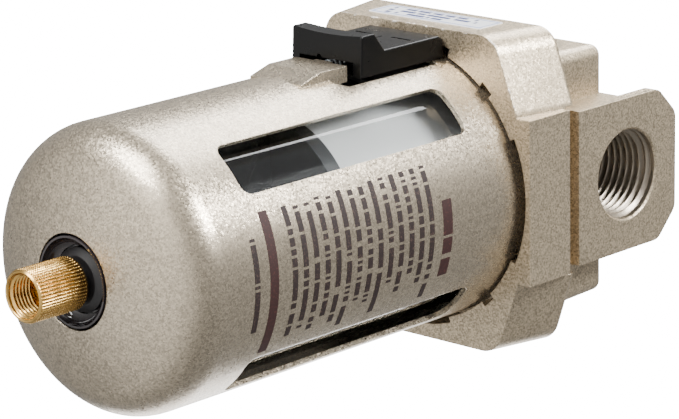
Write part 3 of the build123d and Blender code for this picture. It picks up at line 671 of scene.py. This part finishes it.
def print_tree() -> bpy.types.NodeTree:
    """Builds the tree that prints rows of plain bars round a cylinder.

    Each row is cut into short bars of random length by a seeded noise, and ends at a random place.

    Returns:
        The tree.
    """
    tree = geometry_tree(
        "PrintedRows",
        {
            "Rows": ("NodeSocketInt", 1),
            "Row Pitch": ("NodeSocketFloat", 0.003),
            "Bar Height": ("NodeSocketFloat", 0.001),
            "Length": ("NodeSocketFloat", 0.02),
            "Cells": ("NodeSocketInt", 40),
            "Gap Share": ("NodeSocketFloat", 0.2),
            "Ragged": ("NodeSocketFloat", 0.3),
            "Seed": ("NodeSocketFloat", 1.0),
            "Ink": ("NodeSocketFloat", 0.00003),
            "Start": ("NodeSocketFloat", 0.0),
            "Radius": ("NodeSocketFloat", 0.03),
            "Centre": ("NodeSocketVector", (0.0, 0.0, 0.0)),
            "Material": ("NodeSocketMaterial", None),
        },
    )
    given = add(tree, "NodeGroupInput").outputs
    down = add(tree, "ShaderNodeCombineXYZ", {"Z": maths(tree, "MULTIPLY", given["Row Pitch"], -1.0)})
    rows = add(tree, "GeometryNodeMeshLine", {"Count": given["Rows"], "Offset": down.outputs[0]})
    columns = maths(tree, "ADD", given["Cells"], 1.0)
    bar = add(
        tree,
        "GeometryNodeMeshGrid",
        {"Size X": given["Length"], "Size Y": given["Bar Height"], "Vertices X": columns, "Vertices Y": 2},
    )
    shift = add(tree, "ShaderNodeCombineXYZ", {"X": maths(tree, "DIVIDE", given["Length"], 2.0)})
    upright = add(
        tree,
        "GeometryNodeTransform",
        {"Geometry": bar.outputs[0], "Translation": shift.outputs[0], "Rotation": (math.pi / 2, 0.0, 0.0)},
    )
    copies = add(
        tree, "GeometryNodeInstanceOnPoints", {"Points": rows.outputs[0], "Instance": upright.outputs[0]}
    )
    flat = add(tree, "GeometryNodeRealizeInstances", {0: copies.outputs[0]})
    spot = add(tree, "ShaderNodeSeparateXYZ", {0: add(tree, "GeometryNodeInputPosition").outputs[0]}).outputs
    cell_size = maths(tree, "DIVIDE", given["Length"], given["Cells"])
    cell = maths(tree, "FLOOR", maths(tree, "DIVIDE", spot["X"], cell_size))
    line = maths(tree, "ROUND", maths(tree, "DIVIDE", spot["Z"], given["Row Pitch"]))
    key = add(tree, "ShaderNodeCombineXYZ", {"X": cell, "Y": line, "Z": given["Seed"]})
    chance = add(tree, "ShaderNodeTexWhiteNoise", {"Vector": key.outputs[0]}, noise_dimensions="3D")
    is_gap = maths(tree, "LESS_THAN", chance.outputs["Value"], given["Gap Share"])
    end_key = add(tree, "ShaderNodeCombineXYZ", {"X": -7.0, "Y": line, "Z": given["Seed"]})
    end_chance = add(tree, "ShaderNodeTexWhiteNoise", {"Vector": end_key.outputs[0]}, noise_dimensions="3D")
    short_by = maths(tree, "MULTIPLY", end_chance.outputs["Value"], given["Ragged"])
    last = maths(tree, "MULTIPLY", given["Length"], maths(tree, "SUBTRACT", 1.0, short_by))
    past_end = maths(tree, "GREATER_THAN", spot["X"], last)
    bars = add(
        tree,
        "GeometryNodeDeleteGeometry",
        {"Geometry": flat.outputs[0], "Selection": maths(tree, "MAXIMUM", is_gap, past_end)},
        domain="FACE",
    )
    raised = add(
        tree,
        "GeometryNodeExtrudeMesh",
        {
            "Mesh": bars.outputs[0],
            "Offset": (0.0, -1.0, 0.0),
            "Offset Scale": given["Ink"],
            "Individual": False,
        },
    )
    base = add(tree, "GeometryNodeFlipFaces", {0: bars.outputs[0]})
    both = add(tree, "GeometryNodeJoinGeometry")
    tree.links.new(raised.outputs[0], both.inputs[0])
    tree.links.new(base.outputs[0], both.inputs[0])
    solid = add(tree, "GeometryNodeMergeByDistance", {"Geometry": both.outputs[0], "Distance": 1e-6})
    angle = maths(tree, "ADD", given["Start"], maths(tree, "DIVIDE", spot["X"], given["Radius"]))
    reach = maths(tree, "SUBTRACT", given["Radius"], spot["Y"])
    bent = add(
        tree,
        "ShaderNodeCombineXYZ",
        {
            "X": maths(tree, "MULTIPLY", reach, maths(tree, "SINE", angle)),
            "Y": maths(tree, "MULTIPLY", maths(tree, "MULTIPLY", reach, -1.0), maths(tree, "COSINE", angle)),
            "Z": spot["Z"],
        },
    )
    moved = add(tree, "ShaderNodeVectorMath", {0: bent.outputs[0], 1: given["Centre"]}, operation="ADD")
    wrapped = add(
        tree, "GeometryNodeSetPosition", {"Geometry": solid.outputs[0], "Position": moved.outputs[0]}
    )
    end_tree(tree, wrapped.outputs[0], given["Material"])
    return tree


def bead_tree() -> bpy.types.NodeTree:
    """Builds the tree that lays an uneven bead of cast metal along a line.

    Returns:
        The tree.
    """
    tree = geometry_tree(
        "UnevenBead",
        {
            "Radius": ("NodeSocketFloat", 0.0002),
            "Step": ("NodeSocketFloat", 0.0003),
            "Wander": ("NodeSocketFloat", 0.0002),
            "Grain": ("NodeSocketFloat", 500.0),
            "Material": ("NodeSocketMaterial", None),
        },
    )
    given = add(tree, "NodeGroupInput").outputs
    curve = add(tree, "GeometryNodeMeshToCurve", {0: given["Geometry"]})
    even = add(
        tree, "GeometryNodeResampleCurve", {"Curve": curve.outputs[0], "Length": given["Step"]}, mode="LENGTH"
    )
    place = add(tree, "GeometryNodeInputPosition").outputs[0]
    noise = add(tree, "ShaderNodeTexNoise", {"Vector": place, "Scale": given["Grain"], "Detail": 3.0})
    centred = add(
        tree, "ShaderNodeVectorMath", {0: noise.outputs["Color"], 1: (0.5, 0.5, 0.5)}, operation="SUBTRACT"
    )
    offset = add(
        tree, "ShaderNodeVectorMath", {0: centred.outputs[0], "Scale": given["Wander"]}, operation="SCALE"
    )
    shaky = add(tree, "GeometryNodeSetPosition", {"Geometry": even.outputs[0], "Offset": offset.outputs[0]})
    swell = add(
        tree,
        "ShaderNodeMapRange",
        {"Value": noise.outputs[0], "From Min": 0.4, "From Max": 0.65, "To Min": 0.35, "To Max": 1.3},
    )
    ring = add(tree, "GeometryNodeCurvePrimitiveCircle", {"Resolution": 8, "Radius": given["Radius"]})
    tube = add(
        tree,
        "GeometryNodeCurveToMesh",
        {
            "Curve": shaky.outputs[0],
            "Profile Curve": ring.outputs[0],
            "Scale": swell.outputs[0],
            "Fill Caps": True,
        },
    )
    end_tree(tree, tube.outputs[0], given["Material"])
    return tree


# ---- Sub-assemblies ---------------------------------------------------------------------------------------


@dataclass
class PipeThread:
    """An internal pipe thread, made as a sleeve that lines a bore."""

    major_radius: float
    pitch: float
    length: float
    depth: float
    lead_in: float
    sleeve: float = 0.06 * MM
    rows_per_turn: int = 12

    def wall(self) -> list[Vector]:
        """Returns the threaded wall's points, from the mouth inwards."""
        rows = round(self.length / self.pitch * self.rows_per_turn)
        radius = self.major_radius - self.sleeve
        return [Vector((radius, 0, self.length * i / rows)) for i in range(rows + 1)]


@dataclass
class Head:
    """The die-cast head: painted body, threaded ports, cast edge, and sticker with its print."""

    port: PipeThread = field(
        default_factory=lambda: PipeThread(10.48 * MM, 1.814 * MM, 16.4 * MM, 1.16 * MM, 1.3 * MM)
    )
    port_columns: int = 144
    bore_gap: float = 0.02 * MM
    low_flat: float = 24.6 * MM
    low_side: float = 31.2 * MM
    side_flat: float = 19.1 * MM
    corner: float = 6.0 * MM
    corner_steps: int = 6
    bead_radius: float = 0.22 * MM
    label_rows: int = 3

    def build(self) -> None:
        """Dresses the head's CAD nodes and adds its threads, cast edge and print."""
        lacquer = FlakePaint(
            "cast_champagne_lacquer", "#bfaf95", 0.4, contrast=0.38, tilt=0.14, metallic=0.84
        )
        dress(lacquer.build(), "head_body")
        low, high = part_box("head_label")
        middle = (low + high) / 2
        half = (high - low) / 2
        film = PrintedFilm(
            "printed_gloss_film", "#eef0f4", 0.3, centre=(middle.x, middle.z), half=(half.x, half.z)
        )
        dress(film.build(), "head_label")
        self.add_threads()
        self.add_cast_edge()
        self.add_label_print()

    def add_threads(self) -> None:
        """Lines both ports with their thread, in machined metal darkened as painted shade inside the bores.
        """
        # The thread's colour is darker than the head's paint: machined metal, darkened as painted shade for
        # the inside of the bores.
        bare = FlakePaint(
            "port_metal_with_painted_shade", "#a3998a", 0.36, grain_mm=0.3, contrast=0.05, tilt=0.02, metallic=0.95
        ).build()
        low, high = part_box("head_body")
        tree = turned_tree()
        outer = self.port.major_radius - self.bore_gap
        wall = self.port.wall()
        profile = [*wall, Vector((outer, 0, self.port.length)), Vector((outer, 0, 0)), wall[0]]
        ends = (("inlet_thread", low.x, math.pi / 2), ("outlet_thread", high.x, -math.pi / 2))
        for name, mouth, turn in ends:
            values = {
                "Columns": self.port_columns,
                "Rows": len(profile),
                "Thread Radius": wall[0].x,
                "Thread Depth": self.port.depth,
                "Thread Pitch": self.port.pitch,
                "Lead In": self.port.lead_in,
                "Place": (mouth + math.copysign(0.4 * MM, turn), 0.0, 0.0),
                "Turn": (0.0, turn, 0.0),
            }
            piece = grow(name, tree, values, bare, profile)
            shade_smooth(piece, 50)
            settle(piece, Body.HEAD, "head_paint")

    def add_cast_edge(self) -> None:
        """Lays the uneven cast edge round the front of the head's underside, in a paler paint than the head's
        that is a painted highlight along the edge.
        """
        # The bead is real cast metal; its pale colour #f0e8da is a painted highlight, standing for light
        # caught along the edge.
        metal = FlakePaint(
            "cast_edge_painted_highlight", "#f0e8da", 0.4, grain_mm=0.3, contrast=0.15, metallic=0.5
        ).build()
        low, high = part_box("head_body")
        axis = (low.x + high.x) / 2
        front = low.y + self.bead_radius
        flat, side = self.low_flat, self.low_side
        corners = [
            Vector((axis - side, -self.side_flat, low.z)),
            Vector((axis - flat, front, low.z)),
            Vector((axis + flat, front, low.z)),
            Vector((axis + side, -self.side_flat, low.z)),
        ]
        lift = Vector((0, 0, self.bead_radius))
        path = [corners[0]]
        for before, here, after in zip(corners, corners[1:], corners[2:]):
            path.extend(self.rounded(before, here, after))
        path.append(corners[-1])
        path = [p + lift for p in path]
        values = {"Radius": self.bead_radius, "Step": 0.35 * MM, "Wander": 0.8 * MM, "Grain": 520.0}
        piece = grow("cast_edge", bead_tree(), values, metal, path)
        shade_smooth(piece, 60)
        settle(piece, Body.HEAD, "head_paint")

    def rounded(self, before: Vector, here: Vector, after: Vector) -> list[Vector]:
        """Rounds one corner of a line.

        Args:
            before: The point before the corner.
            here: The corner.
            after: The point after the corner.

        Returns:
            Points along the round, on a quadratic curve between its two tangent points.
        """
        turn = (here - before).angle(after - here)
        trim = self.corner * math.tan(turn / 2)
        start = here + (before - here).normalized() * trim
        end = here + (after - here).normalized() * trim
        shares = [i / self.corner_steps for i in range(self.corner_steps + 1)]
        return [start * (1 - t) ** 2 + here * (2 * t * (1 - t)) + end * t**2 for t in shares]

    def add_label_print(self) -> None:
        """Prints plain bars on the sticker."""
        ink = ScreenInk("label_blue_ink", "#1c2760", 0.5, worn="#4a558c").build()
        low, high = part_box("head_label")
        flat_radius = 10.0  # so large a cylinder that the bars lie flat
        width = high.x - low.x
        values = {
            "Rows": self.label_rows,
            "Row Pitch": 2.1 * MM,
            "Bar Height": 1.25 * MM,
            "Length": width - 6.0 * MM,
            "Cells": 38,
            "Gap Share": 0.3,
            "Ragged": 0.45,
            "Seed": 5.0,
            "Ink": 0.02 * MM,
            "Start": (3.0 * MM - width / 2) / flat_radius,
            "Radius": flat_radius,
            "Centre": ((low.x + high.x) / 2, low.y + flat_radius, high.z - 2.2 * MM),
        }
        piece = grow("label_print", print_tree(), values, ink)
        settle(piece, Body.HEAD, "label_film")


@dataclass
class BowlGuard:
    """The painted steel guard and its print."""

    radius: float = 31.8 * MM
    row_start: float = 64.0
    row_end: float = 122.0
    row_top: float = -64.2 * MM
    row_pitch: float = 3.3 * MM
    rows: int = 14
    band_start: float = 63.5
    band_end: float = 121.0
    band_top: float = -113.3 * MM

    def build(self) -> None:
        """Dresses the guard and prints its marks."""
        lacquer = FlakePaint(
            "steel_champagne_lacquer", "#bbae99", 0.33, contrast=0.3, tilt=0.14, metallic=0.9
        )
        dress(lacquer.build(), "bowl_guard")
        self.add_print()

    def add_print(self) -> None:
        """Prints rows of plain bars and the drain level line round the guard."""
        dark = ScreenInk("dark_red_brown_ink", "#1f100e", 0.7, worn="#574239").build()
        red = ScreenInk("red_brown_ink", "#2c0f0c", 0.7, worn="#4f2722").build()
        low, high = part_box("head_body")
        tree = print_tree()
        blocks = (
            ("print_rows", dark, self.rows, self.row_start, self.row_end, self.row_top, 1.5, 0.22, 0.3, 3.0),
            ("print_heading", red, 1, 79.5, 111.5, -59.0 * MM, 3.0, 0.08, 0.0, 4.0),
            ("print_level_note", dark, 1, 72.5, 110.5, -118.3 * MM, 1.5, 0.2, 0.0, 8.0),
            ("print_level_band", red, 1, self.band_start, self.band_end, self.band_top, 2.5, 0.0, 0.0, 1.0),
        )
        for name, ink, rows, start, end, top, height, gaps, ragged, seed in blocks:
            length = math.radians(end - start) * self.radius
            values = {
                "Rows": rows,
                "Row Pitch": self.row_pitch,
                "Bar Height": height * MM,
                "Length": length,
                "Cells": round(length / (0.62 * MM)),
                "Gap Share": gaps,
                "Ragged": ragged,
                "Seed": seed,
                "Ink": 0.03 * MM,
                "Start": math.radians(start),
                "Radius": self.radius + 0.01 * MM,
                "Centre": ((low.x + high.x) / 2, 0.0, top),
            }
            piece = grow(name, tree, values, ink)
            settle(piece, Body.BOWL, "guard_paint")


@dataclass
class Inside:
    """What is seen through the windows, and the seals and fasteners."""

    def build(self) -> None:
        """Dresses the CAD nodes inside the guard."""
        dress(ClearPolymer("clear_polycarbonate", "#d9dcdd", 0.04).build(), "bowl")
        dress(BondedFibre("bonded_white_fibre", "#e9e6e2", 0.85).build(), "filter_element")
        resin = Moulded("black_moulded_resin", "#1b1a1b", 0.42, grain=0.08).build()
        dress(resin, "baffle", "swirl_deflector")
        rubber = Moulded("moulded_nitrile_rubber", "#161616", 0.62, grain_mm=0.4, grain=0.2).build()
        dress(
            rubber,
            "bowl_o_ring",
            "deflector_gasket",
            "element_top_seal",
            "element_bottom_seal",
            "drain_gasket",
            "valve_seal",
        )
        zinc = Metal("zinc_plated_steel", "#b9bcc0", 0.33, tarnish="#8f8d84", tarnish_share=0.3).build()
        dress(zinc, "bolt_washer", "centre_bolt")


@dataclass
class Lock:
    """The lock button, its clip and its spring."""

    def build(self) -> None:
        """Dresses the lock's CAD nodes."""
        nylon = Moulded("black_moulded_nylon", "#070707", 0.3, grain_mm=0.3, grain=0.1, ior=1.33).build()
        dress(nylon, "lock_button", "lock_clip")
        wire = Metal("drawn_spring_steel", "#aab0b5", 0.25, tarnish="#6f6f6c", tarnish_share=0.2).build()
        dress(wire, "lock_spring", "knob_ring")


@dataclass
class Drain:
    """The drain valve and its knurled brass knob."""

    thread: PipeThread = field(
        default_factory=lambda: PipeThread(
            4.86 * MM, 0.907 * MM, 6.0 * MM, 0.56 * MM, 0.1 * MM, sleeve=0.0, rows_per_turn=11
        )
    )
    outer_radius: float = 5.84 * MM
    upper_bore: float = 3.36 * MM
    stem_bore: float = 1.26 * MM
    web_low: float = 7.2 * MM
    web_high: float = 8.0 * MM
    edge: float = 0.34 * MM
    plain_band: float = 0.2 * MM
    teeth: int = 48
    columns_per_tooth: int = 8
    knurl_rows: int = 64
    knurl_depth: float = 0.34 * MM
    cross_pitch: float = 0.55 * MM

    def build(self) -> None:
        """Dresses the valve and turns the knob."""
        brass = Metal("turned_brass", "#d9b168", 0.24, cut=0.3).build()
        dress(brass, "drain_nut", "drain_stem")
        resin = Moulded("black_satin_resin", "#161415", 0.42, grain=0.05).build()
        dress(resin, "drain_body")
        self.add_knob(brass)

    def profile(self, length: float) -> list[Vector]:
        """Returns the knob's closed profile, the radius along X and the height above its mouth along Z."""
        r, edge = self.outer_radius, self.edge
        low, high = edge + self.plain_band, length - edge
        knurl = [
            Vector((r, 0, low + (high - low) * i / self.knurl_rows)) for i in range(self.knurl_rows + 1)
        ]
        mouth = self.thread.major_radius
        points = [Vector((mouth + 0.25 * MM, 0, 0)), Vector((r - 0.22 * MM - edge, 0, 0))]
        points += [Vector((r - 0.22 * MM, 0, edge)), Vector((r - 0.22 * MM, 0, low - 0.05 * MM)), *knurl]
        points += [Vector((r - edge, 0, length)), Vector((self.upper_bore + edge, 0, length))]
        points += [Vector((self.upper_bore, 0, length - edge)), Vector((self.upper_bore, 0, self.web_high))]
        points += [Vector((self.stem_bore, 0, self.web_high)), Vector((self.stem_bore, 0, self.web_low))]
        wall = [p + Vector((0, 0, 0.2 * MM)) for p in self.thread.wall()]
        points += [Vector((self.upper_bore, 0, self.web_low)), Vector((self.upper_bore, 0, wall[-1].z))]
        points += [*reversed(wall), points[0]]
        return points

    def add_knob(self, brass: bpy.types.Material) -> None:
        """Turns the knob with its knurl and thread, in place of the plain CAD one."""
        low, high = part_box("drain_knob")
        points = self.profile(high.z - low.z)
        values = {
            "Columns": self.teeth * self.columns_per_tooth,
            "Rows": len(points),
            "Thread Radius": self.thread.major_radius,
            "Thread Depth": self.thread.depth,
            "Thread Pitch": self.thread.pitch,
            "Lead In": self.thread.lead_in,
            "Knurl Radius": self.outer_radius,
            "Knurl Teeth": float(self.teeth),
            "Knurl Depth": self.knurl_depth,
            "Cross Pitch": self.cross_pitch,
            "Place": ((low.x + high.x) / 2, 0.0, low.z),
        }
        piece = grow("knurled_knob", turned_tree(), values, brass, points)
        shade_smooth(piece, 35)
        settle(piece, Body.KNOB, "brass", "drain_knob")


@dataclass
class Studio:
    """Camera, soft lights and a pale floor."""

    camera_place: tuple[float, float, float] = (0.5166, -0.1880, -0.5718)
    look: tuple[float, float, float] = (-0.6628, 0.2624, 0.7013)
    right: tuple[float, float, float] = (0.7307, 0.0219, 0.6823)
    lens_mm: float = 172.3
    shift: tuple[float, float] = (0.0116, 0.0100)
    floor_drop: float = 0.78
    floor_half: float = 15.0
    world_strength: float = 0.35
    seen_white: float = 18.0

    def build(self) -> None:
        """Makes the camera, the lights and the floor."""
        self.add_camera()
        self.add_world()
        self.add_lights()
        self.add_floor()

    def axes(self) -> tuple[Vector, Vector, Vector]:
        """Returns the camera's right, up and forward directions."""
        forward = Vector(self.look).normalized()
        right = Vector(self.right)
        right = (right - forward * right.dot(forward)).normalized()
        return right, right.cross(forward), forward

    def add_camera(self) -> None:
        """Makes the camera, with depth of field off."""
        data = bpy.data.cameras.new("camera")
        data.lens = self.lens_mm
        data.shift_x, data.shift_y = self.shift
        data.clip_start, data.clip_end = 0.05, 20.0
        camera = bpy.data.objects.new("camera", data)
        right, up, forward = self.axes()
        turn = Matrix((right, up, -forward)).transposed().to_4x4()
        camera.matrix_world = Matrix.Translation(self.camera_place) @ turn
        bpy.context.scene.collection.objects.link(camera)
        bpy.context.scene.camera = camera

    def add_world(self) -> None:
        """Lights the surroundings an even white, soft on the part but pure white where it is seen."""
        world = bpy.data.worlds.new("white_surroundings")
        world.use_nodes = True
        tree = world.node_tree
        is_seen = add(tree, "ShaderNodeLightPath").outputs["Is Camera Ray"]
        strength = add(
            tree,
            "ShaderNodeMapRange",
            {"Value": is_seen, "To Min": self.world_strength, "To Max": self.seen_white},
        )
        background = tree.nodes["Background"]
        background.inputs["Color"].default_value = linear("#ffffff")
        tree.links.new(strength.outputs[0], background.inputs["Strength"])
        bpy.context.scene.world = world

    def add_lights(self) -> None:
        """Places the soft boxes by how they stand to the camera."""
        low, high = cad_box
        centre = (low + high) / 2
        right, up, forward = self.axes()
        boxes = (
            ("right_box", Vector((0.70, -0.60, 0.36)) * 0.75, 11.0, 0.22),
            ("top_box", Vector((-0.12, -0.84, -0.50)) * 0.85, 14.0, 0.42),
            ("front_box", right * 0.25 + up * 0.7 + forward * 0.35, 8.0, 0.5),
            ("back_box", Vector((-0.4, 0.75, 0.45)), 5.0, 0.6),
        )
        for name, offset, power, size in boxes:
            light = bpy.data.lights.new(name, "AREA")
            light.energy = power
            light.size = size
            lamp = bpy.data.objects.new(name, light)
            place = centre + offset
            turn = offset.to_track_quat("Z", "Y").to_matrix().to_4x4()
            lamp.matrix_world = Matrix.Translation(place) @ turn
            bpy.context.scene.collection.objects.link(lamp)

    def add_floor(self) -> None:
        """Lays a pale floor well below the part, because the camera looks up at it."""
        half = self.floor_half
        corners = [(-half, -half, -self.floor_drop), (half, -half, -self.floor_drop)]
        corners += [(half, half, -self.floor_drop), (-half, half, -self.floor_drop)]
        mesh = bpy.data.meshes.new("floor")
        mesh.from_pydata(corners, [], [(0, 1, 2, 3)])
        floor = bpy.data.objects.new("floor", mesh)
        bpy.context.scene.collection.objects.link(floor)
        mesh.materials.append(FloorPaint("pale_floor_paint", "#f4f3f1", 0.8).build())


def main() -> None:
    """Builds every sub-assembly in order."""
    logging.basicConfig(level=logging.INFO, format="%(name)s: %(message)s")
    Studio().build()
    for assembly in (Head(), BowlGuard(), Inside(), Lock(), Drain()):
        log.info("building %s", type(assembly).__name__)
        assembly.build()


if __name__ == "__main__":
    main()
